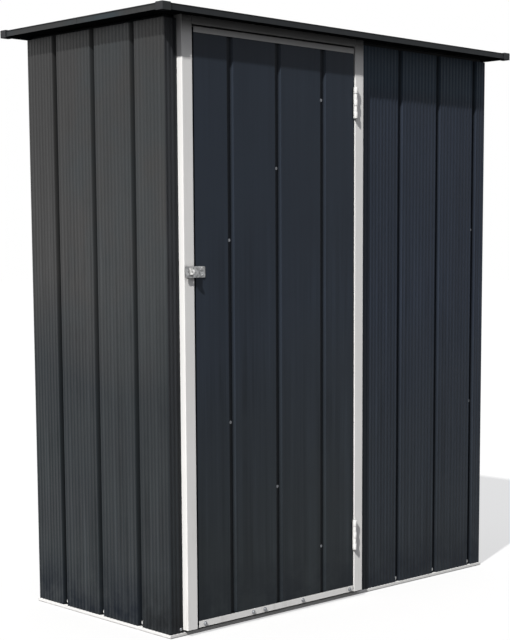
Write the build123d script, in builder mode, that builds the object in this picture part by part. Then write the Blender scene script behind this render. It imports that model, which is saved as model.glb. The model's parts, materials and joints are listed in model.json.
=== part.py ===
"""Flat-roofed metal storage shed with one hinged door, built as folded sheets on a steel rail frame.

Millimetres, +Z up, the ground at Z = 0, the door in the front wall (-Y).
The origin is in the middle of the plan.
"""
import os
from math import cos, hypot, pi, sin

from build123d import *

os.makedirs("parts", exist_ok=True)

# Overall sizes
overall_h = 1800.0
wall_w = 1425.0
wall_d = 667.0
eave_side = 51.5
eave_front = 62.0
sheet = 1.2
fold_r = 5.0
fold_steps = 4

# Grooves pressed into the wall sheets, and the laps where two sheets meet in a groove
groove_pitch = 190.0
groove_mouth = 25.0
groove_floor = 11.0
groove_deep = 11.0
lap_gap = 1.5
front_seam = 59.0

# Shallow ribs that fill the flat bands between the grooves
micro_pitch = 16.0
micro_deep = 1.3
micro_mouth_share = 0.64
micro_floor_share = 0.36

# Base rail: a lip outside the walls, a ledge for the sheets, an upright behind them and a foot
ledge_z = 11.0
lip_out = 2.5
rail_top_z = 38.0
foot_in = 52.0
rail_round = 4.0
anchor_r = 4.5
anchor_in = 34.0
anchor_end = 110.0

# Roof and its edge trim
trim_h = 18.0
trim_lip = 24.0
trim_joint = 0.8
cap_wall = 2.5
cap_arm = 28.0
cap_round = 3.5
cap_edge = 1.5
roof_panels = 4
roof_slack = 0.6
eave_gap = 10.0
top_leg = 46.0

# Doorway, with distances measured from the front left wall corner
post_left_x = 47.5
post_right_x = 749.5
post_w = 38.5
post_round = 2.5
frame_out = 22.0
post_foot_z = 20.0
tube_wall = 1.5
header_h = 23.0

# Door
door_gap = 5.5
door_foot_z = 22.0
door_foot_h = 19.0
door_head_h = 16.0
door_back = 2.0
door_lip = 22.0
door_groove_deep = 9.0
brace_w = 26.0
brace_deep = 5.5
brace_apart = 236.0
brace_corner = 10.0

# Hinges
hinge_h = 95.0
hinge_head_in = 167.0
hinge_foot_in = 186.0
knuckles = 5
knuckle_r = 5.5
door_knuckle_r = 3.9
pin_r = 2.5
pin_play = 0.05
leaf_t = 1.5
knuckle_gap = 0.5
pin_head_h = 1.5

# Latch
latch_up = 177.5
latch_h = 32.0
hasp_t = 2.0
hasp_over = 2.0
hasp_plate = 34.0
hasp_stand = 7.0
hasp_bend = 5.0
hasp_round = 3.0
staple_reach = 14.0
staple_w = 5.0
staple_half = 8.0
staple_eye = 4.5
staple_plate_t = 1.5
staple_plate_w = 24.0
staple_plate_h = 30.0
slot_clear = 5.0

# Derived levels and faces
half_w = wall_w / 2
half_d = wall_d / 2
rail_in = groove_deep + 2 * sheet
trim_top_z = overall_h - cap_wall
trim_foot_z = trim_top_z - trim_h
soffit_z = trim_foot_z + sheet
wall_top_z = soffit_z - sheet - eave_gap
wall_h = wall_top_z - ledge_z
roof_half_w = half_w + eave_side
roof_half_d = half_d + eave_front
back_sheets = int((wall_w - groove_pitch) // (2 * groove_pitch))
side_seam = (wall_d - 2 * groove_pitch) / 2
back_seam = (wall_w - 2 * back_sheets * groove_pitch) / 2

post_left = post_left_x - half_w
post_right = post_right_x - half_w
front_end = half_w - post_right - post_w
front_grooves = int((front_end - front_seam - groove_mouth / 2) // groove_pitch)
door_left = post_left + post_w + door_gap
door_right = post_right - door_gap
door_mid = (door_left + door_right) / 2
header_z = soffit_z - sheet - header_h
door_top_z = header_z - door_gap
door_mid_z = (door_foot_z + door_top_z) / 2
door_face = frame_out - sheet
door_inside = door_back + sheet
pin_x = door_right + door_gap / 2
pin_out = frame_out + knuckle_r + knuckle_gap
latch_mid_x = post_left + post_w / 2
latch_z = door_mid_z + latch_up


def plan(side, along, out):
    """Plan point of a wall, along it clockwise from its first corner and out from its face."""
    places = {
        "front": (half_w - along, -half_d - out),
        "left": (-half_w - out, along - half_d),
        "back": (along - half_w, half_d + out),
        "right": (half_w + out, half_d - along),
    }
    return places[side]


def folded(points, thickness=sheet):
    """Outline of a folded sheet of even thickness on the right-hand side of a line."""
    normals = []
    for (ax, ay), (bx, by) in zip(points, points[1:]):
        length = hypot(bx - ax, by - ay)
        normals.append(((by - ay) / length, (ax - bx) / length))
    inner = []
    for i, (x, y) in enumerate(points):
        ux, uy = normals[max(i - 1, 0)]
        vx, vy = normals[min(i, len(normals) - 1)]
        grow = thickness / (1 + ux * vx + uy * vy)
        inner.append((x + (ux + vx) * grow, y + (uy + vy) * grow))
    return points + inner[::-1]


def groove(middle, depth):
    """Line of one whole groove."""
    return [
        (middle - groove_mouth / 2, 0),
        (middle - groove_floor / 2, -depth),
        (middle + groove_floor / 2, -depth),
        (middle + groove_mouth / 2, 0),
    ]


def lap_start(middle, over):
    """Line of a sheet that begins in a seam groove, over or under its neighbour."""
    depth = groove_deep if over else groove_deep + sheet
    edge = lap_gap if over else 0
    return [
        (middle - groove_floor / 2 + edge, -depth),
        (middle + groove_floor / 2, -depth),
        (middle + groove_mouth / 2, 0),
    ]


def lap_end(middle, over):
    """Line of a sheet that ends in a seam groove."""
    return [(2 * middle - along, out) for along, out in lap_start(middle, over)[::-1]]


def micro_ribs(first, last):
    """Line of the shallow ribs in a flat band between two places along a wall."""
    count = max(round((last - first) / micro_pitch), 1)
    step = (last - first) / count
    points = []
    for number in range(count):
        middle = first + step * number + step / 2
        points += [
            (middle - step * micro_mouth_share / 2, 0),
            (middle - step * micro_floor_share / 2, -micro_deep),
            (middle + step * micro_floor_share / 2, -micro_deep),
            (middle + step * micro_mouth_share / 2, 0),
        ]
    return points


def wall_line(side, *features):
    """Plan line of a sheet along one wall: its edges, laps and grooves, with ribs between them."""
    line = features[0]
    for feature in features[1:]:
        line = line + micro_ribs(line[-1][0], feature[0][0]) + feature
    return [plan(side, along, out) for along, out in line]


def quarter_arc(centre_x, centre_y, radius, first):
    """Points inside a clockwise quarter turn, without its two ends."""
    turns = [first - pi / 2 * step / fold_steps for step in range(1, fold_steps)]
    return [(centre_x + radius * cos(turn), centre_y + radius * sin(turn)) for turn in turns]


def corner(x_sign, y_sign):
    """Arc of a sheet folded round a wall corner, in clockwise order."""
    first = {(1, -1): 0, (-1, -1): -pi / 2, (-1, 1): -pi, (1, 1): pi / 2}[x_sign, y_sign]
    return quarter_arc(x_sign * (half_w - fold_r), y_sign * (half_d - fold_r), fold_r, first)


def wall_plane(side, reach_x=half_w, reach_y=half_d):
    """Section plane of a rail on one side: local x runs outwards and local y runs up."""
    places = {
        "front": ((0, -reach_y, 0), (0, -1, 0), (-1, 0, 0)),
        "left": ((-reach_x, 0, 0), (-1, 0, 0), (0, 1, 0)),
        "back": ((0, reach_y, 0), (0, 1, 0), (1, 0, 0)),
        "right": ((reach_x, 0, 0), (1, 0, 0), (0, -1, 0)),
    }
    origin, out, along = places[side]
    return Plane(origin=origin, x_dir=out, z_dir=along)


def mitre(side, reach_x, reach_y, deep):
    """Plan outline that cuts a rail's two ends at 45 degrees, from outside the corner to inside it."""
    far_x = reach_x + deep
    far_y = reach_y + deep
    near_x = reach_x - deep
    near_y = reach_y - deep
    places = {
        "front": [(-far_x, -far_y), (far_x, -far_y), (near_x, -near_y), (-near_x, -near_y)],
        "left": [(-far_x, far_y), (-far_x, -far_y), (-near_x, -near_y), (-near_x, near_y)],
        "back": [(far_x, far_y), (-far_x, far_y), (-near_x, near_y), (near_x, near_y)],
        "right": [(far_x, -far_y), (far_x, far_y), (near_x, near_y), (near_x, -near_y)],
    }
    return places[side]


sides = ("front", "left", "back", "right")

# Base rails, mitred at the corners and rounded at the foot, with anchor holes at the front and back
rail_line = [
    (-rail_in, rail_top_z),
    (-rail_in, ledge_z),
    (lip_out, ledge_z),
    (lip_out, rail_round),
    *quarter_arc(lip_out - rail_round, rail_round, rail_round, 0),
    (lip_out - rail_round, 0),
    (-foot_in, 0),
]
for side in sides:
    with BuildPart() as rail:
        with BuildSketch(wall_plane(side)):
            with BuildLine():
                Polyline(folded(rail_line), close=True)
            make_face()
        extrude(amount=half_w + foot_in, both=True)
        with BuildSketch():
            with BuildLine():
                Polyline(mitre(side, half_w, half_d, 2 * foot_in), close=True)
            make_face()
        extrude(amount=rail_top_z, mode=Mode.INTERSECT)
        if side in ("front", "back"):
            y_sign = -1 if side == "front" else 1
            with BuildSketch():
                with Locations((0, y_sign * (half_d - anchor_in))):
                    with GridLocations(2 * (half_w - anchor_end), 0, 2, 1):
                        Circle(anchor_r)
            extrude(amount=sheet, mode=Mode.SUBTRACT)
    rail.part.label = f"base_rail_{side}"
    export_step(rail.part, f"parts/base_rail_{side}.step")

# Wall sheets: four folded round the corners, and flat ones that lap with them in the seam grooves
fold_start = [(fold_r, 0)]
side_fold = [(wall_d - fold_r, 0)]
across_fold = [(wall_w - fold_r, 0)]
side_sheet = (
    lap_start(side_seam, True),
    groove(half_d, groove_deep),
    lap_end(wall_d - side_seam, True),
)
front_sheet = [lap_start(front_seam, True)]
for number in range(front_grooves):
    front_sheet.append(groove(front_seam + (number + 1) * groove_pitch, groove_deep))
front_sheet.append([(front_end, 0)])
walls = {
    "corner_panel_front_left": wall_line("front", [(half_w - post_left, 0)], across_fold)
    + corner(-1, -1)
    + wall_line("left", fold_start, lap_end(side_seam, False)),
    "corner_panel_back_left": wall_line("left", lap_start(wall_d - side_seam, False), side_fold)
    + corner(-1, 1)
    + wall_line("back", fold_start, lap_end(back_seam, False)),
    "corner_panel_back_right": wall_line("back", lap_start(wall_w - back_seam, True), across_fold)
    + corner(1, 1)
    + wall_line("right", fold_start, lap_end(side_seam, False)),
    "corner_panel_front_right": wall_line("right", lap_start(wall_d - side_seam, False), side_fold)
    + corner(1, -1)
    + wall_line("front", fold_start, lap_end(front_seam, False)),
    "wall_panel_left": wall_line("left", *side_sheet),
    "wall_panel_right": wall_line("right", *side_sheet),
    "wall_panel_front": wall_line("front", *front_sheet),
}
for number in range(back_sheets):
    first = back_seam + 2 * number * groove_pitch
    walls[f"wall_panel_back_{number + 1}"] = wall_line(
        "back",
        lap_start(first, True),
        groove(first + groove_pitch, groove_deep),
        lap_end(first + 2 * groove_pitch, False),
    )
for name, line in walls.items():
    with BuildPart() as panel:
        with BuildSketch(Plane.XY.offset(ledge_z)):
            with BuildLine():
                Polyline(folded(line), close=True)
            make_face()
        extrude(amount=wall_h)
    panel.part.label = name
    export_step(panel.part, f"parts/{name}.step")

# Top rails behind the wall sheets, with a flange that carries the roof
top_line = [(0, soffit_z - sheet), (-rail_in, soffit_z - sheet), (-rail_in, soffit_z - top_leg)]
for side in sides:
    with BuildPart() as top_rail:
        with BuildSketch(wall_plane(side)):
            with BuildLine():
                Polyline(folded(top_line), close=True)
            make_face()
        extrude(amount=half_w, both=True)
        with BuildSketch(Plane.XY.offset(soffit_z)):
            with BuildLine():
                Polyline(mitre(side, half_w, half_d, 2 * rail_in), close=True)
            make_face()
        extrude(amount=-top_leg, mode=Mode.INTERSECT)
    top_rail.part.label = f"top_rail_{side}"
    export_step(top_rail.part, f"parts/top_rail_{side}.step")

# Door posts and the header between them, in square tube
frame_deep = rail_in + frame_out
frame_mid_y = -half_d + (rail_in - frame_out) / 2
for name, x in (("door_post_left", post_left), ("door_post_right", post_right)):
    with BuildPart() as post:
        with BuildSketch(Plane.XY.offset(post_foot_z)):
            with Locations((x + post_w / 2, frame_mid_y)):
                RectangleRounded(post_w, frame_deep, post_round)
                Rectangle(post_w - 2 * tube_wall, frame_deep - 2 * tube_wall, mode=Mode.SUBTRACT)
        extrude(amount=soffit_z - sheet - post_foot_z)
    post.part.label = name
    export_step(post.part, f"parts/{name}.step")

with BuildPart() as header:
    with BuildSketch(Plane.YZ.offset(post_left + post_w)):
        with Locations((frame_mid_y, header_z + header_h / 2)):
            Rectangle(frame_deep, header_h)
            Rectangle(frame_deep - 2 * tube_wall, header_h - 2 * tube_wall, mode=Mode.SUBTRACT)
    extrude(amount=post_right - post_left - post_w)
header.part.label = "door_header"
export_step(header.part, "parts/door_header.step")

# Roof sheets with ribs that stand up, lapped on every second rib
roof_in_w = roof_half_w - sheet - roof_slack
roof_in_d = roof_half_d - sheet - roof_slack
roof_pitch = roof_in_w / roof_panels
for number in range(roof_panels):
    first = -roof_in_w + 2 * number * roof_pitch
    last = first + 2 * roof_pitch
    over = number % 2 == 0
    line = [(first, 0)] if number == 0 else lap_start(first, over)
    line = line + groove(first + roof_pitch, groove_deep)
    line = line + ([(last, 0)] if number == roof_panels - 1 else lap_end(last, over))
    with BuildPart() as roof:
        with BuildSketch(Plane.XZ.offset(-roof_in_d)):
            with BuildLine():
                Polyline([(x, soffit_z - out) for x, out in folded(line)], close=True)
            make_face()
        extrude(amount=2 * roof_in_d)
    roof.part.label = f"roof_panel_{number + 1}"
    export_step(roof.part, f"parts/roof_panel_{number + 1}.step")

# Roof trim: a channel round the edge, mitred at the corners and in two lengths on each short side
trim_line = [(-trim_lip, trim_top_z), (0, trim_top_z), (0, trim_foot_z), (-trim_lip, trim_foot_z)]
for side in sides:
    with BuildPart() as trim:
        with BuildSketch(wall_plane(side, roof_half_w, roof_half_d)):
            with BuildLine():
                Polyline(folded(trim_line), close=True)
            make_face()
        extrude(amount=roof_half_w, both=True)
        with BuildSketch(Plane.XY.offset(trim_foot_z)):
            with BuildLine():
                Polyline(mitre(side, roof_half_w, roof_half_d, 2 * trim_lip), close=True)
            make_face()
        extrude(amount=trim_h, mode=Mode.INTERSECT)
        if side in ("left", "right"):
            with BuildSketch(Plane.XY.offset(trim_foot_z)):
                Rectangle(2 * roof_half_w, trim_joint)
            extrude(amount=trim_h, mode=Mode.SUBTRACT)
    trim.part.label = f"roof_trim_{side}"
    export_step(trim.part, f"parts/roof_trim_{side}.step")

# A rounded cap pushed over the trim at each roof corner
cap_size = cap_arm + cap_wall
for name, x_sign, y_sign in (
    ("front_left", -1, -1),
    ("front_right", 1, -1),
    ("back_left", -1, 1),
    ("back_right", 1, 1),
):
    cap_x = x_sign * (roof_half_w + cap_wall - cap_size / 2)
    cap_y = y_sign * (roof_half_d + cap_wall - cap_size / 2)
    with BuildPart() as cap:
        with BuildSketch(Plane.XY.offset(trim_foot_z - cap_wall)):
            with Locations((cap_x, cap_y)):
                Rectangle(cap_size, cap_size)
        extrude(amount=trim_h + 2 * cap_wall)
        uprights = cap.edges().filter_by(Axis.Z).sort_by_distance((0, 0, trim_foot_z))
        fillet(uprights[-1], radius=cap_round)
        chamfer(cap.faces().sort_by(Axis.Z)[-1].edges(), length=cap_edge)
        with BuildSketch(Plane.XY.offset(trim_foot_z)):
            with Locations((cap_x - x_sign * cap_wall, cap_y - y_sign * cap_wall)):
                Rectangle(cap_size, cap_size)
        extrude(amount=trim_h, mode=Mode.SUBTRACT)
    cap.part.label = f"roof_cap_{name}"
    export_step(cap.part, f"parts/roof_cap_{name}.step")

# Door: a sheet folded back at both edges and closed by a channel along the head and the foot
door_line = [
    (door_right - door_lip, door_inside),
    (door_right, door_inside),
    (door_right, door_face),
]
for number in (1, 0, -1):
    middle = door_mid + number * groove_pitch
    door_line += [(2 * middle - x, door_face + out) for x, out in groove(middle, door_groove_deep)]
door_line += [
    (door_left, door_face),
    (door_left, door_inside),
    (door_left + door_lip, door_inside),
]
with BuildPart() as door_panel:
    with BuildSketch(Plane.XY.offset(door_foot_z + sheet)):
        with BuildLine():
            Polyline(folded([(x, -half_d - out) for x, out in door_line]), close=True)
        make_face()
    extrude(amount=door_top_z - door_foot_z - 2 * sheet)
door_panel.part.label = "door_panel"
export_step(door_panel.part, "parts/door_panel.step")

foot_line = [
    (frame_out, door_foot_z + door_foot_h),
    (frame_out, door_foot_z),
    (door_back, door_foot_z),
    (door_back, door_foot_z + door_foot_h),
]
head_line = [
    (door_back, door_top_z - door_head_h),
    (door_back, door_top_z),
    (frame_out, door_top_z),
    (frame_out, door_top_z - door_head_h),
]
for name, line in (("door_rail_bottom", foot_line), ("door_rail_top", head_line)):
    with BuildPart() as door_rail:
        with BuildSketch(Plane.YZ.offset(door_left)):
            with BuildLine():
                Polyline([(-half_d - out, z) for out, z in folded(line)], close=True)
            make_face()
        extrude(amount=door_right - door_left)
    door_rail.part.label = name
    export_step(door_rail.part, f"parts/{name}.step")

# Two braces inside the door, each from the latch edge to a hinge corner, on the backs of the grooves
brace_face = door_face - door_groove_deep - sheet
brace_span = door_right - door_left - 2 * sheet
for name, start_z, end_z in (
    ("door_brace_upper", door_mid_z + brace_apart / 2, door_top_z - brace_corner),
    ("door_brace_lower", door_mid_z - brace_apart / 2, door_foot_z + brace_corner),
):
    run = Vector(door_right - door_left, 0, end_z - start_z)
    brace_plane = Plane(
        origin=(door_mid, -half_d - brace_face, (start_z + end_z) / 2),
        x_dir=(0, 1, 0),
        z_dir=run.normalized(),
    )
    brace_line = [
        (brace_deep, brace_w / 2),
        (0, brace_w / 2),
        (0, -brace_w / 2),
        (brace_deep, -brace_w / 2),
    ]
    with BuildPart() as brace:
        with BuildSketch(brace_plane):
            with BuildLine():
                Polyline(folded(brace_line[::-1]), close=True)
            make_face()
        extrude(amount=run.length / 2 + brace_w, both=True)
        with BuildSketch(Plane.XZ.offset(half_d)):
            with Locations((door_mid, door_mid_z)):
                Rectangle(brace_span, door_top_z - door_foot_z - 2 * sheet)
        extrude(amount=frame_out, mode=Mode.INTERSECT)
    brace.part.label = name
    export_step(brace.part, f"parts/{name}.step")

# Hinges: the post's leaf holds the pin and the odd knuckles, and the door's leaf has the even ones
knuckle_h = (hinge_h - (knuckles - 1) * knuckle_gap) / knuckles
leaf_deep = frame_out - door_inside
leaf_y = -half_d - door_inside - leaf_deep / 2
neck_deep = pin_out - frame_out
neck_y = -half_d - frame_out - neck_deep / 2
pin_y = -half_d - pin_out
for place, middle_z in (("upper", door_top_z - hinge_head_in), ("lower", door_foot_z + hinge_foot_in)):
    low_z = middle_z - hinge_h / 2
    knuckle_z = [low_z + number * (knuckle_h + knuckle_gap) for number in range(knuckles)]
    with BuildPart() as post_leaf:
        with BuildSketch(Plane.XY.offset(low_z)):
            with Locations((post_right - leaf_t / 2, leaf_y)):
                Rectangle(leaf_t, leaf_deep)
        extrude(amount=hinge_h)
        for start_z in knuckle_z[::2]:
            with BuildSketch(Plane.XY.offset(start_z)):
                with Locations((pin_x, pin_y)):
                    Circle(knuckle_r)
                with Locations((post_right - leaf_t / 2, neck_y)):
                    Rectangle(leaf_t, neck_deep)
            extrude(amount=knuckle_h)
        with BuildSketch(Plane.XY.offset(low_z - pin_head_h)):
            with Locations((pin_x, pin_y)):
                Circle(pin_r)
        extrude(amount=hinge_h + 2 * pin_head_h)
    post_leaf.part.label = f"hinge_leaf_post_{place}"
    export_step(post_leaf.part, f"parts/hinge_leaf_post_{place}.step")

    with BuildPart() as door_leaf:
        with BuildSketch(Plane.XY.offset(low_z)):
            with Locations((door_right + leaf_t / 2, leaf_y)):
                Rectangle(leaf_t, leaf_deep)
        extrude(amount=hinge_h)
        for start_z in knuckle_z[1::2]:
            with BuildSketch(Plane.XY.offset(start_z)):
                with Locations((pin_x, pin_y)):
                    Circle(door_knuckle_r)
                with Locations((door_right + leaf_t / 2, neck_y)):
                    Rectangle(leaf_t, neck_deep)
                with Locations((pin_x, pin_y)):
                    Circle(pin_r + pin_play, mode=Mode.SUBTRACT)
            extrude(amount=knuckle_h)
    door_leaf.part.label = f"hinge_leaf_door_{place}"
    export_step(door_leaf.part, f"parts/hinge_leaf_door_{place}.step")

# Latch: a hasp on the door reaches over the post, whose staple comes through it with a padlock eye
hasp_out = frame_out + hasp_stand
hasp_left = post_left - hasp_over
hasp_right = door_left + hasp_plate
hasp_line = [
    (hasp_left, hasp_out),
    (door_left, hasp_out),
    (door_left + hasp_bend, door_face),
    (hasp_right, door_face),
]
slot_w = staple_w + 2 * slot_clear
slot_h = 2 * (staple_half + slot_clear)
with BuildPart() as hasp:
    with BuildSketch(Plane.XY.offset(latch_z - latch_h / 2)):
        with BuildLine():
            Polyline(folded([(x, -half_d - out) for x, out in hasp_line], hasp_t), close=True)
        make_face()
    extrude(amount=latch_h)
    ends = hasp.edges().filter_by(Axis.Y).group_by(Axis.X)
    fillet(ends[0] + ends[-1], radius=hasp_round)
    with BuildSketch(Plane.XZ.offset(half_d + hasp_out)):
        with Locations((latch_mid_x, latch_z)):
            RectangleRounded(slot_w, slot_h, hasp_round)
    extrude(amount=hasp_t, mode=Mode.SUBTRACT)
hasp.part.label = "latch_hasp"
export_step(hasp.part, "parts/latch_hasp.step")

staple_plane = Plane(
    origin=(latch_mid_x - staple_w / 2, -half_d - frame_out, latch_z),
    x_dir=(0, -1, 0),
    z_dir=(1, 0, 0),
)
with BuildPart() as staple:
    with BuildSketch(Plane.XZ.offset(half_d + frame_out)):
        with Locations((latch_mid_x, latch_z)):
            Rectangle(staple_plate_w, staple_plate_h)
    extrude(amount=staple_plate_t)
    with BuildSketch(staple_plane):
        with Locations((staple_reach / 2, 0)):
            Rectangle(staple_reach, 2 * staple_half)
        with Locations((staple_reach, 0)):
            Circle(staple_half)
        with Locations((staple_reach, 0)):
            Circle(staple_eye, mode=Mode.SUBTRACT)
    extrude(amount=staple_w)
staple.part.label = "latch_staple"
export_step(staple.part, "parts/latch_staple.step")
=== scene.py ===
import json
import math

import bpy
from mathutils import Matrix, Vector


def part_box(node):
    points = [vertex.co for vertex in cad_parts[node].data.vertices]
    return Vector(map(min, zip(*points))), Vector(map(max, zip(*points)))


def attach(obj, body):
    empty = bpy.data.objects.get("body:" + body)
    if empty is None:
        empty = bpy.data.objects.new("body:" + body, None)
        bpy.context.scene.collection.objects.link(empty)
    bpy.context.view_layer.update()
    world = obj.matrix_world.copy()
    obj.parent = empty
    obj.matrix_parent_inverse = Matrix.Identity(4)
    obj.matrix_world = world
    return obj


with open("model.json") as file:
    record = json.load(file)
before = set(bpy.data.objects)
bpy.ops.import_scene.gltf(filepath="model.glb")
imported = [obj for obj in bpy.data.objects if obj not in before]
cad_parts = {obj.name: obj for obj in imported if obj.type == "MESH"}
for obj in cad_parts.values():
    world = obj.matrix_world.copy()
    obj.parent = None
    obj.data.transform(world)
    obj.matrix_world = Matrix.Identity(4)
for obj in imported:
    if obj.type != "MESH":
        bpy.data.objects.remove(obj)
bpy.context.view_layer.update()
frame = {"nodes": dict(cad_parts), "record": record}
nodes = frame["nodes"]

# Sizes of the shed that the finishes and the screws follow, in metres
HALF_W, HALF_D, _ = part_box("corner_panel_back_right")[1]
DOOR_LOW, DOOR_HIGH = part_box("door_panel")
TRIM_FOOT, TRIM_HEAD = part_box("roof_trim_front")
PITCH = 0.190
GROOVE_DEEP = 0.011
DOOR_GROOVE_DEEP = 0.009
FRONT_SEAM = 0.059

# Ranges over which the sheets change their look: places, depths in the grooves and heights, in metres
BEHIND_FRONT = (-HALF_D + 0.015, -HALF_D + 0.021)
BESIDE_FRONT = (HALF_W - 0.006, HALF_W - 0.002)
# Depths over which the grooves take painted shade
SIDE_GROOVE_DEPTHS = (0.0008, 0.004)
FRONT_GROOVE_DEPTHS = (0.003, 0.007)
# Heights of the damp patches, which are also a painted dark reflection
DAMP_AND_REFLECTION_HEIGHTS = (0.04, 0.20)
EARTHY_HEIGHTS = (0.2, 0.9)
PALE_HEIGHTS = (0.72, 1.02)
CALM_HEIGHTS = (0.95, 1.3)
SATIN_HEIGHTS = (1.2, 1.45)
HEAD_HEIGHTS = (1.2, 1.7)
# Heights of the painted light that lifts the front in the eave's shadow
EAVE_LIGHT_HEIGHTS = (1.60, 1.66)
# Heights of the painted shade line along the trim's top rim
RIM_HEIGHTS = (TRIM_HEAD.z - 0.006, TRIM_HEAD.z - 0.004)

# Heights over which the white frame changes its look, in metres
FOOT_HEIGHTS = (0.0, 0.5)
# Heights of the painted eave shadow on the white frame
EAVE_SHADE_HEIGHTS = (1.65, 1.728)
DEEP_EAVE_SHADE_HEIGHTS = (1.728, 1.764)

# Ranges of how far a face looks along one axis, from -1 to 1
LOOKS_DOWN = (-0.7, -0.3)
LOOKS_UP = (0.3, 0.7)
LOOKS_LEFT = (-0.7, -0.5)
LOOKS_FORWARD = (-0.75, -0.6)
LOOKS_PAST_FRONT = (-0.53, -0.47)

# Ranges of a texture's value, from 0 to 1
WHOLE = (0.0, 1.0)
NOISE_MIDDLE = (0.3, 0.7)
COOL_NOISE = (0.45, 0.62)
PATCH_NOISE = (0.35, 0.65)
DAMP_AND_REFLECTION_NOISE = (0.35, 0.6)
GRIME_NOISE = (0.55, 0.8)
CHIP_NOISE = (0.52, 0.62)
STAIN_NOISE = (0.5, 0.75)
OPEN_TO_LIGHT = (0.45, 0.92)
NORMALS_AGREE = (0.75, 0.98)

# Stretch of a texture along X, Y and Z
EVEN = (1, 1, 1)
STREAKED = (1, 1, 0.02)
GRIMY = (1, 1, 0.15)
WAVY = (1, 1, 0.45)

# Shares of a colour's channels
COOL_SHARES = (0.78, 1.03, 1.17)
EARTHY_SHARES = (1.12, 1.03, 0.80)
CORNER_EARTHY_SHARES = (0.72, 0.80, 0.80)
EAVE_LIGHT_SHARES = (1.15, 1.40, 1.40)

# Shares of a colour's brightness
CLOUD_SHARES = (0.9, 1.1)
HEAD_SHARE = 0.86
PALE_CLOUD_SHARE = 1.6
DAMP_AND_REFLECTION_SHARE = 0.4
SHADE_SHARE = 0.25
SIDE_SHADE_SHARE = 0.12
UNDER_SHADE_SHARE = 0.35
WORN_SHARE = 2.2
STAIN_SHARE = 0.55
PLASTIC_CLOUD_SHARES = (0.85, 1.2)
PLASTIC_FRONT_SHARE = 0.7
PLASTIC_WORN_SHARE = 2.0

# Shares and strengths of shine, roughness, painted shade, dirt and wear
FRONT_SHINE = 0.09
SIDE_SHINE = 0.45
ROOF_SHINE = 0.08
WHITE_SHINE = 0.2
PLASTIC_SHINE = 0.2
LOW_SHINE_SHARE = 0.6
SATIN_SHARE = 0.92
ROUGH_BELOW = 0.06
ROUGH_ABOVE = 0.08
LEFT_SHADE_SHARE = 0.2
SHEET_WEAR_SHARE = 0.35
PLASTIC_WEAR_SHARE = 0.4
PALE_SPANGLE_SHARE = 0.6


def fill_inputs(tree, node, inputs):
    """Link the sockets among the inputs, and set the plain values."""
    for key, value in inputs.items():
        if isinstance(value, bpy.types.NodeSocket):
            tree.links.new(value, node.inputs[key])
        else:
            node.inputs[key].default_value = value


def add_node(tree, kind, inputs=None, **settings):
    node = tree.nodes.new(kind)
    for key, value in settings.items():
        setattr(node, key, value)
    fill_inputs(tree, node, inputs or {})
    return node


class Surface:
    """A node material with short-hands for the textures and sums that all the finishes share."""

    def __init__(self, name):
        self.material = bpy.data.materials.new(name)
        self.material.use_nodes = True
        self.tree = self.material.node_tree
        self.bsdf = self.tree.nodes["Principled BSDF"]
        self.place = self.add("ShaderNodeTexCoord").outputs["Object"]
        self.normal = None

    def add(self, kind, inputs=None, **settings):
        return add_node(self.tree, kind, inputs, **settings)

    def noise(self, scale, detail=3.0, rough=0.5, stretch=EVEN):
        place = self.add("ShaderNodeMapping", {"Vector": self.place, "Scale": stretch}).outputs["Vector"]
        inputs = {"Vector": place, "Scale": scale, "Detail": detail, "Roughness": rough}
        return self.add("ShaderNodeTexNoise", inputs).outputs["Fac"]

    def span(self, value, between, start, end):
        low, high = between
        inputs = {"Value": value, "From Min": low, "From Max": high, "To Min": start, "To Max": end}
        return self.add("ShaderNodeMapRange", inputs).outputs["Result"]

    def rise(self, value, between, bottom=0.0, top=1.0):
        """From bottom to top as the value passes through the range."""
        return self.span(value, between, bottom, top)

    def fall(self, value, between, top=1.0, bottom=0.0):
        """From top to bottom as the value passes through the range."""
        return self.span(value, between, top, bottom)

    def math(self, operation, first, second):
        return self.add("ShaderNodeMath", {0: first, 1: second}, operation=operation).outputs[0]

    def times(self, first, second):
        return self.math("MULTIPLY", first, second)

    def rest(self, share):
        return self.math("SUBTRACT", 1.0, share)

    def blend(self, share, first, second):
        return self.add("ShaderNodeMix", {0: share, 6: first, 7: second}, data_type="RGBA").outputs[2]

    def along(self, axis):
        return self.add("ShaderNodeSeparateXYZ", {0: self.place}).outputs[axis]

    def from_middle(self, axis):
        return self.math("ABSOLUTE", self.along(axis), 0.0)

    def height(self):
        return self.along("Z")

    def depth(self):
        """Depth behind the flats of the nearest wall."""
        beside = self.math("SUBTRACT", HALF_W, self.from_middle("X"))
        before = self.math("SUBTRACT", HALF_D, self.from_middle("Y"))
        return self.math("MINIMUM", beside, before)

    def facing(self, axis):
        """How far a face looks along one axis of the object, from -1 to 1."""
        normal = self.add("ShaderNodeTexCoord").outputs["Normal"]
        return self.add("ShaderNodeSeparateXYZ", {0: normal}).outputs[axis]

    def hollows(self, reach):
        """1 deep in grooves and corners and 0 on open faces."""
        open_share = self.add("ShaderNodeAmbientOcclusion", {"Distance": reach}, samples=6).outputs["AO"]
        return self.fall(open_share, OPEN_TO_LIGHT)

    def edges(self, radius):
        """1 along sharp edges and 0 on the flats."""
        round_normal = self.add("ShaderNodeBevel", {"Radius": radius}, samples=4).outputs["Normal"]
        true_normal = self.add("ShaderNodeNewGeometry").outputs["Normal"]
        dot = self.add("ShaderNodeVectorMath", {0: round_normal, 1: true_normal}, operation="DOT_PRODUCT")
        return self.fall(dot.outputs["Value"], NORMALS_AGREE)

    def bump(self, height, deep, strength):
        """Lay a bump, its depth in metres, over those before it."""
        inputs = {"Height": height, "Distance": deep, "Strength": strength}
        if self.normal is not None:
            inputs["Normal"] = self.normal
        self.normal = self.add("ShaderNodeBump", inputs).outputs["Normal"]
        self.set({"Normal": self.normal})

    def set(self, inputs):
        fill_inputs(self.tree, self.bsdf, inputs)


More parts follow.
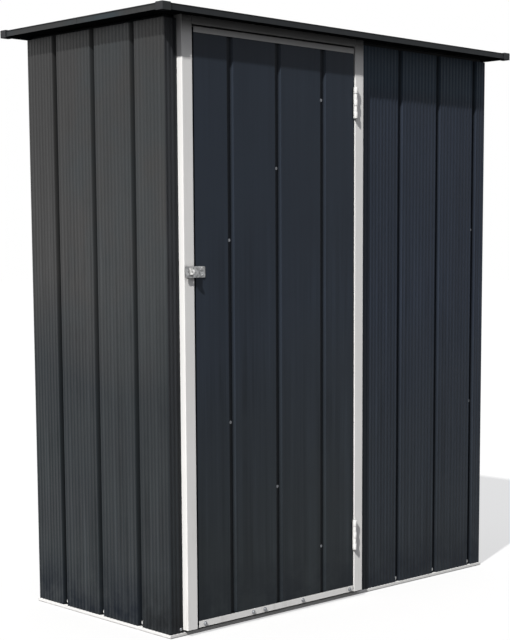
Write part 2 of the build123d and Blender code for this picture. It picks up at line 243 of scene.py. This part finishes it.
def tone(colour, factor=1.0):
    return tuple(channel * factor for channel in colour) + (1.0,)


def tint(colour, shares):
    return tuple(channel * share for channel, share in zip(colour, shares)) + (1.0,)


# Painted sheet
def front_tones(s, level, cloud, colour, low_shares, eave_light_shares):
    """Cloudy paint with a tint towards the foot and a painted lift of light in the eave's shadow."""
    darker, paler = CLOUD_SHARES
    base = s.blend(cloud, tone(colour, darker), tone(colour, paler))
    base = s.blend(s.fall(level, EARTHY_HEIGHTS, top=0.85), base, tint(colour, low_shares))
    return s.blend(s.rise(s.height(), EAVE_LIGHT_HEIGHTS), base, tint(colour, eave_light_shares))


def side_tones(s, level, cloud, low, high):
    """Painted light for the sides and the back: their own colour, one low down and one high up, darker at the
    head, with pale and cool clouds.
    """
    side = s.blend(s.rise(level, PALE_HEIGHTS), tone(low), tone(high))
    side = s.blend(s.rise(level, HEAD_HEIGHTS), side, tone(high, HEAD_SHARE))
    side = s.blend(s.rise(cloud, WHOLE, top=0.12), side, tone(high, PALE_CLOUD_SHARE))
    cool = s.rise(s.noise(scale=2.6, rough=0.6), COOL_NOISE, top=0.8)
    return s.blend(cool, side, tint(high, COOL_SHARES))


def wall_zones(s, face):
    """Shares of a wall sheet or the door that count as side or back, and how much painted shade its grooves
    get.
    """
    behind = s.rise(s.along("Y"), BEHIND_FRONT)
    on_side = s.math("MAXIMUM", behind, s.rise(s.from_middle("X"), BESIDE_FRONT))
    side_groove_shade = s.times(on_side, s.rise(s.depth(), SIDE_GROOVE_DEPTHS, top=0.32))
    front_depth = s.math("SUBTRACT", s.along("Y"), face)
    front_groove_shade = s.times(s.rise(front_depth, FRONT_GROOVE_DEPTHS, top=0.45), s.rest(on_side))
    return on_side, s.math("MAXIMUM", side_groove_shade, front_groove_shade)


def roof_zones(s):
    """Shares of the roof that don't look forward, which take the painted side colour, and painted shade in
    its hollows.
    """
    return s.rise(s.facing("Y"), LOOKS_PAST_FRONT), s.hollows(reach=0.01)


def rain_streaks(s, level):
    """Brightness of patchy upright streaks, weaker high up."""
    streak = s.noise(scale=55.0, rough=0.6, stretch=STREAKED)
    patchy = s.rise(s.noise(scale=3.5, rough=0.6), PATCH_NOISE, bottom=0.15)
    patchy = s.times(patchy, s.fall(level, CALM_HEIGHTS, bottom=0.35))
    return s.math("ADD", 1.0, s.times(s.rise(streak, NOISE_MIDDLE, bottom=-0.34, top=0.34), patchy))


def side_sheen(s, level, value, groove_shade, damp_and_dark_reflection, shine):
    """Shine of the sides: most at mid height, uneven in the streaks, weaker in the grooves and in the damp
    patches at the foot.
    """
    sheen = s.times(value, s.rise(level, PALE_HEIGHTS, bottom=LOW_SHINE_SHARE * shine, top=shine))
    sheen = s.times(sheen, s.rest(groove_shade))
    sheen = s.times(sheen, s.fall(level, SATIN_HEIGHTS, bottom=SATIN_SHARE))
    return s.times(sheen, s.rest(damp_and_dark_reflection))


def sheet_paint(
    name,
    colour,
    side_low,
    side_high,
    shine,
    side_shine,
    gloss,
    wave,
    by_place=True,
    low_shares=EARTHY_SHARES,
    eave_light_shares=EVEN,
    face=-HALF_D,
):
    """Baked paint on thin sheet: cloudy tone, painted light in colours of their own on the sides and the
    back, rain streaks, damp patches at the foot that are also a painted dark reflection, painted shade in the
    grooves and along the trim's top rim, worn edges, orange peel and a wavy sheet. It is dull underneath and
    painted darker there for shade."""
    s = Surface(name)
    cloud = s.rise(s.noise(scale=2.2, detail=4.0), NOISE_MIDDLE)
    waver = s.rise(s.noise(scale=1.6), NOISE_MIDDLE, bottom=-0.1, top=0.1)
    level = s.math("ADD", s.height(), waver)
    base = front_tones(s, level, cloud, colour, low_shares, eave_light_shares)
    side = side_tones(s, level, cloud, side_low, side_high)
    if by_place:
        on_side, groove_shade = wall_zones(s, face)
        base = s.blend(on_side, base, side)
    else:
        on_side, groove_shade = roof_zones(s)
        base = s.blend(on_side, base, side)
        # Painted shade: a dark line along the top rim of the trim
        rim_shade = s.times(s.rise(s.height(), RIM_HEIGHTS, top=0.85), s.fall(s.facing("Z"), LOOKS_UP))
        base = s.blend(rim_shade, base, tone(colour, SHADE_SHARE))
    # Painted shade in the grooves darkens the streaked tone
    value = s.times(rain_streaks(s, level), s.rest(groove_shade))
    base = s.add("ShaderNodeHueSaturation", {"Color": base, "Value": value}).outputs["Color"]
    # Darker damp patches at the foot, which are also a painted dark reflection
    damp_and_dark_reflection = s.rise(s.noise(scale=9.0, detail=5.0, rough=0.7), DAMP_AND_REFLECTION_NOISE)
    damp_and_dark_reflection = s.times(s.fall(s.height(), DAMP_AND_REFLECTION_HEIGHTS, top=0.8), damp_and_dark_reflection)
    base = s.blend(damp_and_dark_reflection, base, tone(colour, DAMP_AND_REFLECTION_SHARE))
    worn = s.times(s.edges(radius=0.0015), SHEET_WEAR_SHARE)
    base = s.blend(worn, base, tone(colour, WORN_SHARE))
    # Painted shade in hollows and grooves
    groove_shade_colour = s.blend(on_side, tone(colour, SHADE_SHARE), tone(side_low, SIDE_SHADE_SHARE))
    base = s.blend(s.hollows(reach=0.018), base, groove_shade_colour)
    # Painted shade: faces that look down are darker
    base = s.blend(s.fall(s.facing("Z"), LOOKS_DOWN), base, tone(colour, UNDER_SHADE_SHARE))
    rough = s.noise(scale=7.0, detail=5.0, rough=0.6)
    rough = s.rise(rough, NOISE_MIDDLE, bottom=gloss - ROUGH_BELOW, top=gloss + ROUGH_ABOVE)
    sheen = side_sheen(s, level, value, groove_shade, damp_and_dark_reflection, side_shine)
    sheen = s.math("ADD", shine, s.times(on_side, s.math("SUBTRACT", sheen, shine)))
    sheen = s.times(sheen, s.rise(s.facing("Z"), LOOKS_DOWN))
    s.set({"Base Color": base, "Roughness": rough, "Specular IOR Level": sheen})
    s.bump(s.noise(scale=wave, detail=1.0, rough=0.4, stretch=WAVY), deep=0.006, strength=0.5)
    s.bump(s.noise(scale=420.0, detail=2.0), deep=0.0002, strength=0.25)
    return s.material


# White powder coat
CLEAN_WHITE = (0.92, 0.915, 0.905)
AGED_WHITE = (0.88, 0.875, 0.865)
GRIME = (0.42, 0.40, 0.36)
# Dark colour of the painted shade in the frame's corners
CORNER_SHADE_COLOUR = (0.10, 0.097, 0.09)
# Near black of the painted eave shadow
EAVE_SHADE_COLOUR = (0.004, 0.004, 0.0045)
BARE_STEEL = (0.45, 0.45, 0.46)


def white_paint(name, corner_shade, foot_dirt):
    """White powder coat with faint yellowing, streaks of grime towards the foot, painted shade in the
    corners, a painted eave shadow that darkens it towards the top, both weaker on faces that look left, and
    grey chips along the edges."""
    s = Surface(name)
    cloud = s.rise(s.noise(scale=5.0, detail=4.0), NOISE_MIDDLE)
    base = s.blend(cloud, tone(CLEAN_WHITE), tone(AGED_WHITE))
    grime = s.noise(scale=38.0, detail=5.0, rough=0.65, stretch=GRIMY)
    grime = s.times(s.rise(grime, GRIME_NOISE, top=foot_dirt), s.fall(s.height(), FOOT_HEIGHTS, bottom=0.25))
    base = s.blend(grime, base, tone(GRIME))
    # Painted shade in corners and recesses, weaker on faces that look left
    corner_shade_share = s.rise(s.facing("X"), LOOKS_LEFT, bottom=LEFT_SHADE_SHARE * corner_shade, top=corner_shade)
    base = s.blend(s.times(s.hollows(reach=0.02), corner_shade_share), base, tone(CORNER_SHADE_COLOUR))
    # Painted shadow of the eave: the frame darkens towards its top, less on faces that look left
    deep_eave_shade = s.rise(s.height(), DEEP_EAVE_SHADE_HEIGHTS, top=0.60)
    eave_shade = s.math("ADD", s.rise(s.height(), EAVE_SHADE_HEIGHTS, top=0.36), deep_eave_shade)
    eave_shade = s.times(eave_shade, s.rise(s.facing("X"), LOOKS_LEFT, bottom=0.4))
    base = s.blend(eave_shade, base, tone(EAVE_SHADE_COLOUR))
    chips = s.rise(s.noise(scale=90.0, detail=4.0), CHIP_NOISE, top=0.6)
    base = s.blend(s.times(s.edges(radius=0.0018), chips), base, tone(BARE_STEEL))
    rough = s.rise(s.noise(scale=20.0, detail=4.0), NOISE_MIDDLE, bottom=0.32, top=0.46)
    s.set({"Base Color": base, "Roughness": rough, "Specular IOR Level": WHITE_SHINE})
    s.bump(s.noise(scale=380.0, detail=2.0), deep=0.00025, strength=0.25)
    return s.material


def galvanised(name, colour, metal, spangle):
    """Zinc with crystal spangle, dull stains and a fine grain."""
    s = Surface(name)
    cells = s.add("ShaderNodeTexVoronoi", {"Vector": s.place, "Scale": 120.0}).outputs["Color"]
    grey = s.add("ShaderNodeSeparateColor", {0: cells}).outputs[0]
    base = s.blend(grey, tone(colour, 1.0 - spangle), tone(colour, 1.0 + PALE_SPANGLE_SHARE * spangle))
    stain = s.rise(s.noise(scale=45.0, detail=5.0, rough=0.6), STAIN_NOISE, top=0.7)
    base = s.blend(stain, base, tone(colour, STAIN_SHARE))
    rough = s.rise(grey, WHOLE, bottom=0.34, top=0.52)
    s.set({"Base Color": base, "Roughness": rough, "Metallic": metal})
    s.bump(s.noise(scale=300.0), deep=0.00015, strength=0.3)
    return s.material


def moulded_plastic(name, colour, front_colour):
    """Dark moulded plastic with a fine spark-eroded grain, painted darker on faces that look forward for
    shade, and dull underneath.
    """
    s = Surface(name)
    cloud = s.rise(s.noise(scale=14.0, detail=4.0), NOISE_MIDDLE)
    darker, paler = PLASTIC_CLOUD_SHARES
    base = s.blend(cloud, tone(colour, darker), tone(colour, paler))
    # Painted shade: faces that look forward take a darker colour
    base = s.blend(s.fall(s.facing("Y"), LOOKS_FORWARD), base, tone(front_colour, PLASTIC_FRONT_SHARE))
    worn = s.times(s.edges(radius=0.001), PLASTIC_WEAR_SHARE)
    base = s.blend(worn, base, tone(colour, PLASTIC_WORN_SHARE))
    rough = s.rise(s.noise(scale=30.0, detail=4.0), NOISE_MIDDLE, bottom=0.5, top=0.66)
    sheen = s.rise(s.facing("Z"), LOOKS_DOWN, top=PLASTIC_SHINE)
    s.set({"Base Color": base, "Roughness": rough, "Specular IOR Level": sheen})
    s.bump(s.noise(scale=900.0, detail=2.0), deep=0.0003, strength=0.4)
    return s.material


# Colours and finishes
ANTHRACITE = (0.025, 0.0325, 0.048)
# The front and side colours are lit and shaded copies of one paint: the SIDE_ and TRIM_ colours are painted
# light for faces that don't look forward
SIDE_LOW = (0.0120, 0.0160, 0.0195)
SIDE_HIGH = (0.0205, 0.0205, 0.0205)
TRIM_LOW = (0.0285, 0.035, 0.039)
TRIM_HIGH = (0.047, 0.048, 0.049)
ROOF_GREY = (0.0315, 0.0345, 0.0375)
DOOR_BLUE = (0.0245, 0.032, 0.045)
CORNER_GREY = (0.030, 0.032, 0.036)
CAP_GREY = (0.030, 0.031, 0.034)
ZINC = (0.36, 0.365, 0.37)
BRIGHT_ZINC = (0.80, 0.80, 0.79)
DULL_ZINC = (0.30, 0.31, 0.33)
wall_finish = sheet_paint(
    "wall_sheet_paint",
    ANTHRACITE,
    SIDE_LOW,
    SIDE_HIGH,
    FRONT_SHINE,
    SIDE_SHINE,
    gloss=0.40,
    wave=3.0,
    eave_light_shares=EAVE_LIGHT_SHARES,
)
front_finish = sheet_paint(
    "front_sheet_paint",
    ANTHRACITE,
    ANTHRACITE,
    ANTHRACITE,
    FRONT_SHINE,
    FRONT_SHINE,
    gloss=0.40,
    wave=3.0,
    eave_light_shares=EAVE_LIGHT_SHARES,
)
door_finish = sheet_paint(
    "door_sheet_paint",
    DOOR_BLUE,
    DOOR_BLUE,
    DOOR_BLUE,
    FRONT_SHINE,
    FRONT_SHINE,
    gloss=0.36,
    wave=4.0,
    face=DOOR_LOW.y,
)
corner_finish = sheet_paint(
    "corner_sheet_paint",
    CORNER_GREY,
    SIDE_LOW,
    SIDE_HIGH,
    FRONT_SHINE,
    SIDE_SHINE,
    gloss=0.40,
    wave=3.0,
    low_shares=CORNER_EARTHY_SHARES,
)
roof_finish = sheet_paint(
    "roof_sheet_paint",
    ROOF_GREY,
    TRIM_LOW,
    TRIM_HIGH,
    ROOF_SHINE,
    ROOF_SHINE,
    gloss=0.45,
    wave=3.0,
    by_place=False,
)
# The white finishes differ in how much painted shade their corners get and how much grime their foot gets
white_finish = white_paint("white_frame_paint", corner_shade=0.5, foot_dirt=0.35)
hinge_finish = white_paint("white_hinge_paint", corner_shade=0.08, foot_dirt=0.35)
rail_finish = white_paint("white_rail_paint", corner_shade=0.2, foot_dirt=0.1)
zinc_finish = galvanised("galvanised_zinc", ZINC, metal=0.7, spangle=0.22)
hasp_finish = galvanised("spangled_zinc_hasp", ZINC, metal=0.7, spangle=0.5)
staple_finish = galvanised("bright_zinc_staple", BRIGHT_ZINC, metal=0.3, spangle=0.5)
screw_finish = galvanised("bright_zinc_screws", BRIGHT_ZINC, metal=0.3, spangle=0.2)
dull_screw_finish = galvanised("dull_zinc_screws", DULL_ZINC, metal=0.7, spangle=0.2)
cap_finish = moulded_plastic("corner_cap_plastic", CAP_GREY, ROOF_GREY)

# The finish of a node goes by its slot, unless the start of its name is listed
SLOT_FINISH = {
    "anthracite_paint": wall_finish,
    "white_paint": white_finish,
    "galvanised_steel": zinc_finish,
    "dark_plastic": cap_finish,
}
NAME_FINISH = {
    "door_panel": door_finish,
    "wall_panel_front": front_finish,
    "corner_panel_front_left": corner_finish,
    "hinge_leaf": hinge_finish,
    "base_rail": rail_finish,
    "latch_hasp": hasp_finish,
    "latch_staple": staple_finish,
    "roof_panel": roof_finish,
    "roof_trim": roof_finish,
    "top_rail": roof_finish,
}
for part in frame["record"]["subparts"]:
    finish = SLOT_FINISH[part["material_slot"]]
    for start, own_finish in NAME_FINISH.items():
        if part["node"].startswith(start):
            finish = own_finish
    mesh = nodes[part["node"]].data
    mesh.materials.clear()
    mesh.materials.append(finish)


def mesh_object(name, points, faces, material):
    mesh = bpy.data.meshes.new(name)
    mesh.from_pydata(points, [], faces)
    mesh.materials.append(material)
    piece = bpy.data.objects.new(name, mesh)
    bpy.context.scene.collection.objects.link(piece)
    return piece


# Screws: a washer head, as radii and heights, with a cross recess, repeated in one mesh for each group
HEAD = [
    (0.0048, 0.0),
    (0.0048, 0.0006),
    (0.0043, 0.0010),
    (0.0036, 0.0011),
    (0.0035, 0.0018),
    (0.0031, 0.0024),
    (0.0024, 0.0027),
]
HEAD_TOP = HEAD[-1][1]
ARM_W = 0.0005
ARM_L = 0.0019
ARM_TURN = math.atan(ARM_W / ARM_L)
ARM_CORNER = math.hypot(ARM_L, ARM_W)
ARM_ROOT = math.hypot(ARM_W, ARM_W)
RECESS_DEEP = 0.0011
RECESS_TAPER_SHARE = 0.8
QUARTER = math.pi / 2
QUARTER_TURNS = (0, ARM_TURN, QUARTER / 2, QUARTER - ARM_TURN)
TURNS = [number * QUARTER + turn for number in range(4) for turn in QUARTER_TURNS]
CROSS = 4 * [ARM_L, ARM_CORNER, ARM_ROOT, ARM_CORNER]
SCREW_RINGS = [[(r, z)] * len(TURNS) for r, z in HEAD]
SCREW_RINGS.append([(r, HEAD_TOP) for r in CROSS])
SCREW_RINGS.append([(RECESS_TAPER_SHARE * r, HEAD_TOP - RECESS_DEEP) for r in CROSS])
NEXT_SCREW_TURN = 2.399


def screws(name, body, finish, size, places):
    """One mesh of screw heads, each given by its seat, its outward direction and its height share."""
    points = []
    faces = []
    count = len(TURNS)
    for number, (seat, out, rise) in enumerate(places):
        first = len(points)
        lay = Vector(out).to_track_quat("Z", "Y").to_matrix().to_4x4()
        lay = Matrix.Translation(seat) @ lay @ Matrix.Rotation(number * NEXT_SCREW_TURN, 4, "Z")
        for ring in SCREW_RINGS:
            for turn, (r, z) in zip(TURNS, ring):
                x = size * r * math.cos(turn)
                y = size * r * math.sin(turn)
                points.append(lay @ Vector((x, y, z * rise)))
        last = len(points) - count
        for a in range(first, last, count):
            for i in range(count):
                j = (i + 1) % count
                faces.append((a + i, a + j, a + count + j, a + count + i))
        faces.append([last + i for i in range(count)])
        faces.append([first + i for i in reversed(range(count))])
    piece = mesh_object(name, points, faces, finish)
    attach(piece, body)


FORWARD = (0, -1, 0)
BACKWARD = (0, 1, 0)
LEFTWARD = (-1, 0, 0)
RIGHTWARD = (1, 0, 0)
UPWARD = (0, 0, 1)
FULL_RISE = 1.0


def on_wall(side, along, deep, z):
    """Seat and direction of a screw: along a wall from its left end, seen from outside, and in from it."""
    if side == "front":
        return (along - HALF_W, -HALF_D + deep, z), FORWARD
    if side == "back":
        return (HALF_W - along, HALF_D - deep, z), BACKWARD
    if side == "left":
        return (-HALF_W + deep, HALF_D - along, z), LEFTWARD
    return (HALF_W - deep, along - HALF_D, z), RIGHTWARD


# Screws through the grooves of the walls, into the base rail and in the laps of the front and the back
LAP_LEVELS = (0.598, 1.196)
RAIL_LEVEL = 0.0215
SEAMS = {
    "left": [HALF_D - PITCH, HALF_D + PITCH],
    "right": [HALF_D - PITCH, HALF_D + PITCH],
    "front": [2 * HALF_W - FRONT_SEAM],
    "back": [HALF_W + step * PITCH for step in (-3, -1, 1, 3)],
}
GROOVES = {
    "left": [HALF_D],
    "right": [HALF_D],
    "front": [2 * HALF_W - FRONT_SEAM - step * PITCH for step in (1, 2)],
    "back": [HALF_W + step * PITCH for step in (-2, 0, 2)],
}
foot_screws = []
sheet_screws = []
for side in SEAMS:
    for along in SEAMS[side] + GROOVES[side]:
        foot_screws.append((*on_wall(side, along, GROOVE_DEEP, RAIL_LEVEL), FULL_RISE))
for side in ("front", "back"):
    for along in SEAMS[side]:
        for z in LAP_LEVELS:
            sheet_screws.append((*on_wall(side, along, GROOVE_DEEP, z), FULL_RISE))

# One screw at the foot of the front left corner
CORNER_ALONG = 0.039
CORNER_LEVEL = 0.0225
sheet_screws.append((*on_wall("front", CORNER_ALONG, 0.0, CORNER_LEVEL), FULL_RISE))

# Screws through the roof trim into the sheets
TRIM_INSET = 0.013
TRIM_SIDE_Y = 0.2
TRIM_RISE = 0.8
for y_sign in (-1, 1):
    for step in (-3, -1, 1, 3):
        seat = (step * PITCH, y_sign * (-TRIM_FOOT.y - TRIM_INSET), TRIM_HEAD.z)
        sheet_screws.append((seat, UPWARD, TRIM_RISE))
for x_sign in (-1, 1):
    for y in (-TRIM_SIDE_Y, TRIM_SIDE_Y):
        seat = (x_sign * (TRIM_HEAD.x - TRIM_INSET), y, TRIM_HEAD.z)
        sheet_screws.append((seat, UPWARD, TRIM_RISE))

# Screws through the grooves of the door into its braces, which start apart and end in the hinge corners
BRACE_APART = 0.229
BRACE_HEAD_INSET = 0.0138
BRACE_FOOT_INSET = 0.0145
foot_rail_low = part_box("door_rail_bottom")[0]
head_rail_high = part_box("door_rail_top")[1]
door_mid = (DOOR_LOW.x + DOOR_HIGH.x) / 2
door_mid_z = (foot_rail_low.z + head_rail_high.z) / 2
BRACE_ENDS = (
    (door_mid_z + BRACE_APART / 2, head_rail_high.z - BRACE_HEAD_INSET),
    (door_mid_z - BRACE_APART / 2, foot_rail_low.z + BRACE_FOOT_INSET),
)
brace_screws = []
for step in (-1, 0, 1):
    x = door_mid + step * PITCH
    share = (x - DOOR_LOW.x) / (DOOR_HIGH.x - DOOR_LOW.x)
    for start, end in BRACE_ENDS:
        seat = (x, DOOR_LOW.y + DOOR_GROOVE_DEEP, start + (end - start) * share)
        brace_screws.append((seat, FORWARD, FULL_RISE))

# Screws in the door's foot rail, placed along the front wall
RAIL_SCREWS_ALONG = (0.114, 0.306, 0.354, 0.517, 0.728)
DOOR_RAIL_LEVEL = 0.0315
RAIL_RISE = 1.6
rail_screws = []
for along in RAIL_SCREWS_ALONG:
    rail_screws.append(((along - HALF_W, foot_rail_low.y, DOOR_RAIL_LEVEL), FORWARD, RAIL_RISE))

# Screws of the hasp, one over the other
LATCH_INSET = 0.012
LATCH_HALF_APART = 0.010
HASP_THICK = 0.002
hasp_low, hasp_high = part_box("latch_hasp")
hasp_mid_z = (hasp_low.z + hasp_high.z) / 2
latch_screws = []
for side in (-1, 1):
    seat = (hasp_high.x - LATCH_INSET, DOOR_LOW.y - HASP_THICK, hasp_mid_z + side * LATCH_HALF_APART)
    latch_screws.append((seat, FORWARD, FULL_RISE))

screws("foot_screws", "shed", screw_finish, size=1.25, places=foot_screws)
screws("sheet_screws", "shed", dull_screw_finish, size=1.0, places=sheet_screws)
screws("brace_screws", "door", dull_screw_finish, size=1.0, places=brace_screws)
screws("rail_screws", "door", dull_screw_finish, size=1.35, places=rail_screws)
screws("latch_screws", "door", zinc_finish, size=0.9, places=latch_screws)


# Rolled ends of the hinge leaves: slit barrels, wider on the post's knuckles than on the door's
ROLL_LONG = 0.0189
ROLL_STEPS = 40
ROLL_SLIT = 0.12
ROLL_PITCH = 0.0382
PIN_HEAD = 0.0015

# The rounded rim of a barrel: how far in from its outside, and how far from its end
ROLL_RIM = [(0.0004, 0.0), (0.0001, 0.0002), (0.0, 0.0006)]


def hinge_rolls(name, body, leaves, radius, bore, count, start):
    """One mesh of closed slit barrels, swept round the pin from a wall profile."""
    lower = [(radius - inset, z) for inset, z in ROLL_RIM]
    upper = [(radius - inset, ROLL_LONG - z) for inset, z in reversed(ROLL_RIM)]
    wall = [(bore, 0.0)] + lower + upper + [(bore, ROLL_LONG)]
    size = len(wall)
    outside = range(1, size - 2)
    pin_x, pin_y, _ = frame["record"]["behaviour"]["joints"][0]["pos_m"]
    round_pin = 2 * math.pi - 2 * ROLL_SLIT
    turns = [ROLL_SLIT + round_pin * step / ROLL_STEPS for step in range(ROLL_STEPS + 1)]
    points = []
    faces = []
    smooth = []
    for leaf in leaves:
        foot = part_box(leaf)[0].z + start
        for number in range(count):
            first = len(points)
            for turn in turns:
                for r, z in wall:
                    z_at = foot + number * ROLL_PITCH + z
                    points.append((pin_x + r * math.cos(turn), pin_y + r * math.sin(turn), z_at))
            last = len(points) - size
            for a in range(first, last, size):
                for i in range(size):
                    j = (i + 1) % size
                    faces.append((a + i, a + size + i, a + size + j, a + j))
                    smooth.append(i in outside)
            faces.append([first + i for i in range(size)])
            faces.append([last + i for i in reversed(range(size))])
            smooth += [False, False]
    piece = mesh_object(name, points, faces, hinge_finish)
    piece.data.polygons.foreach_set("use_smooth", smooth)
    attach(piece, body)


leaves = ("hinge_leaf_post_upper", "hinge_leaf_post_lower")
door_start = PIN_HEAD + ROLL_PITCH / 2
hinge_rolls("hinge_rolls", "shed", leaves, radius=0.0059, bore=0.0050, count=3, start=PIN_HEAD)
hinge_rolls("door_hinge_rolls", "door", leaves, radius=0.0046, bore=0.0036, count=2, start=door_start)


# Floor, backdrop and light
FLOOR_HALF = 40.0
FLOOR_LIT = (0.05, 0.05, 0.05)
FLOOR_SEEN = (0.28, 0.28, 0.28)
FLOOR_GLOW = 0.60
DOME_COLOUR = (0.97, 0.98, 1.03)
DOME_TOP = 0.85
WHITE = (1.0, 1.0, 1.0)
SUN_POWER = 4.5
SUN_DEGREES = 1.5
SUN_COLOUR = (1.0, 0.985, 0.96)
SUN_WAY = (0.64, 0.262, -0.72)


def seen_rays(tree):
    """1 for camera, glossy and transmission rays, which see the white surroundings."""
    path = add_node(tree, "ShaderNodeLightPath").outputs
    total = path["Is Camera Ray"]
    for name in ("Is Glossy Ray", "Is Transmission Ray"):
        total = add_node(tree, "ShaderNodeMath", {0: total, 1: path[name]}, operation="MAXIMUM").outputs[0]
    return total


def stage_floor():
    """A pale floor that keeps the shadow where it is seen, and sends little light up to the object."""
    material = bpy.data.materials.new("pale_floor")
    material.use_nodes = True
    tree = material.node_tree
    tree.nodes.clear()
    lit = add_node(tree, "ShaderNodeBsdfDiffuse", {"Color": tone(FLOOR_LIT)}).outputs[0]
    shaded = add_node(tree, "ShaderNodeBsdfDiffuse", {"Color": tone(FLOOR_SEEN)}).outputs[0]
    glow = add_node(tree, "ShaderNodeEmission", {"Strength": FLOOR_GLOW}).outputs[0]
    seen = add_node(tree, "ShaderNodeAddShader", {0: shaded, 1: glow}).outputs[0]
    pick = add_node(tree, "ShaderNodeMixShader", {0: seen_rays(tree), 1: lit, 2: seen}).outputs[0]
    add_node(tree, "ShaderNodeOutputMaterial", {"Surface": pick})
    corners = [(x * FLOOR_HALF, y * FLOOR_HALF, 0) for x, y in ((-1, -1), (1, -1), (1, 1), (-1, 1))]
    floor = mesh_object("floor", corners, [(0, 1, 2, 3)], material)


def surroundings():
    """A dome that is brighter overhead, and plain white where it is seen."""
    world = bpy.data.worlds.new("studio")
    bpy.context.scene.world = world
    world.use_nodes = True
    tree = world.node_tree
    tree.nodes.clear()
    way = add_node(tree, "ShaderNodeTexCoord").outputs["Generated"]
    rise = add_node(tree, "ShaderNodeSeparateXYZ", {0: way}).outputs["Z"]
    dome = add_node(tree, "ShaderNodeMapRange", {"Value": rise, "To Min": 0.0, "To Max": DOME_TOP}).outputs[0]
    fill = add_node(tree, "ShaderNodeBackground", {"Color": tone(DOME_COLOUR), "Strength": dome}).outputs[0]
    white = add_node(tree, "ShaderNodeBackground", {"Color": tone(WHITE), "Strength": 1.0}).outputs[0]
    pick = add_node(tree, "ShaderNodeMixShader", {0: seen_rays(tree), 1: fill, 2: white}).outputs[0]
    add_node(tree, "ShaderNodeOutputWorld", {"Surface": pick})


def key_light():
    lamp = bpy.data.lights.new("key", "SUN")
    lamp.energy = SUN_POWER
    lamp.angle = math.radians(SUN_DEGREES)
    lamp.color = SUN_COLOUR
    key = bpy.data.objects.new("key", lamp)
    key.rotation_mode = "QUATERNION"
    key.rotation_quaternion = Vector(SUN_WAY).to_track_quat("-Z", "Y")
    bpy.context.scene.collection.objects.link(key)


# The photo's camera: image, focal length and principal point in pixels, angles in degrees, place in metres
IMAGE_W = 510
IMAGE_H = 640
FOCAL_PX = 1461.8
CENTRE_PX_X = 325.0
CENTRE_PX_Y = 419.9
VIEW_TURN = 45.18
VIEW_DIP = 6.65
VIEW_PLACE = (-3.3426, -3.5805, 1.1278)
SENSOR_MM = 36.0


def camera():
    turn = math.radians(VIEW_TURN)
    dip = math.radians(VIEW_DIP)
    forward = Vector((math.sin(turn) * math.cos(dip), math.cos(turn) * math.cos(dip), -math.sin(dip)))
    right = Vector((math.cos(turn), -math.sin(turn), 0.0))
    up = right.cross(forward)
    axes = Matrix((right, up, -forward)).transposed().to_4x4()
    lens = bpy.data.cameras.new("camera")
    lens.sensor_fit = "VERTICAL"
    lens.sensor_height = SENSOR_MM
    lens.lens = SENSOR_MM * FOCAL_PX / IMAGE_H
    lens.shift_x = (IMAGE_W / 2 - CENTRE_PX_X) / IMAGE_H
    lens.shift_y = (CENTRE_PX_Y - IMAGE_H / 2) / IMAGE_H
    view = bpy.data.objects.new("camera", lens)
    view.matrix_world = Matrix.Translation(VIEW_PLACE) @ axes
    bpy.context.scene.collection.objects.link(view)
    bpy.context.scene.camera = view


stage_floor()
surroundings()
key_light()
camera()
bpy.context.scene.view_settings.view_transform = "Standard"
